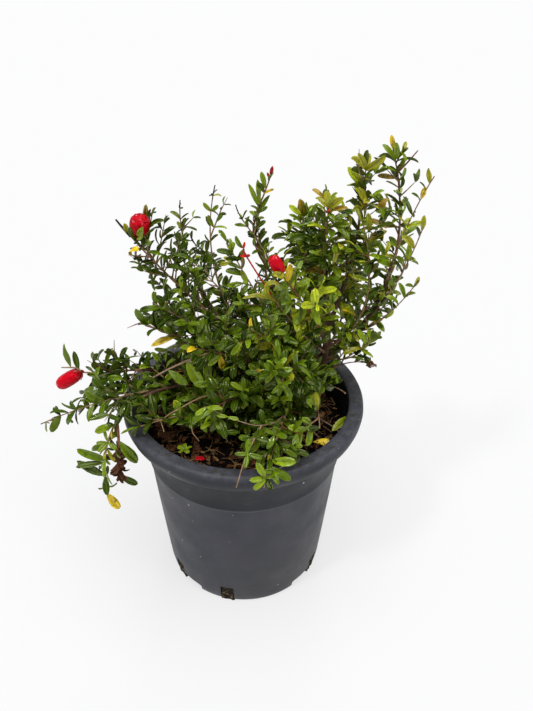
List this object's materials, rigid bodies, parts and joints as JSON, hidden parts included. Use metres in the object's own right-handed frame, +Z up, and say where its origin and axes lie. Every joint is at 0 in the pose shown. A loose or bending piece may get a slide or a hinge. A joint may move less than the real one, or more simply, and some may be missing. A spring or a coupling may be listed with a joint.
{
  "type": "potted dwarf pomegranate tree",
  "caption": "Dwarf pomegranate tree in a round moulded nursery pot: a short leaning trunk, thin spreading boughs, masses of small leaves, and red flowers.",
  "frame": {"origin": "middle of the pot's flat underside, which stands on the floor", "axes": "+Z up, -Y the front of the plant, +X to the right as the front is looked at"},
  "size_m": [0.3746, 0.2796, 0.4807],
  "materials": {
    "pot_plastic": "matte moulded plastic, scuffed paler on the rim",
    "compost": "dark moist compost with bark chips",
    "bark": "thin brown bark, red-brown on young wood",
    "foliage": "small glossy leaves, with red flowers"
  },
  "bodies": {
    "root": {"pot": "pot_plastic", "soil": "compost", "trunk": "bark", "bough_back_left": "bark", "bough_back_low": "bark", "bough_back_peak": "bark", "bough_back_right": "bark", "bough_bud_spire": "bark", "bough_crest_left": "bark", "bough_crest_mid": "bark", "bough_droop": "bark", "bough_far_right": "bark", "bough_flower_arm": "bark", "bough_flower_shoot": "bark", "bough_left_shelf": "bark", "bough_left_shoulder": "bark", "bough_low_left": "bark", "bough_low_left_tip": "bark", "bough_pale_crown": "bark", "bough_right_reach": "bark", "bough_right_side": "bark", "bough_thin_spire_left": "bark", "bough_thin_spire_right": "bark", "bough_thorn_spire": "bark", "bough_top": "bark", "foliage_back_left": "foliage", "foliage_back_low": "foliage", "foliage_back_peak": "foliage", "foliage_back_right": "foliage", "foliage_bud_spire": "foliage", "foliage_centre_front": "foliage", "foliage_centre_high": "foliage", "foliage_centre_left": "foliage", "foliage_centre_low": "foliage", "foliage_crest_left": "foliage", "foliage_crest_mid": "foliage", "foliage_droop": "foliage", "foliage_far_right": "foliage", "foliage_flower_arm": "foliage", "foliage_flower_shoot": "foliage", "foliage_front_hang": "foliage", "foliage_front_right": "foliage", "foliage_inner_right": "foliage", "foliage_left_front": "foliage", "foliage_left_shelf": "foliage", "foliage_left_shoulder": "foliage", "foliage_low_left": "foliage", "foliage_low_left_tip": "foliage", "foliage_mid_tuft": "foliage", "foliage_pale_crown": "foliage", "foliage_red_shoot": "foliage", "foliage_right_drop": "foliage", "foliage_right_front": "foliage", "foliage_right_low": "foliage", "foliage_right_reach": "foliage", "foliage_right_side": "foliage", "foliage_thin_spire_left": "foliage", "foliage_thin_spire_right": "foliage", "foliage_thorn_spire": "foliage", "foliage_top": "foliage"}
  },
  "joints": []
}
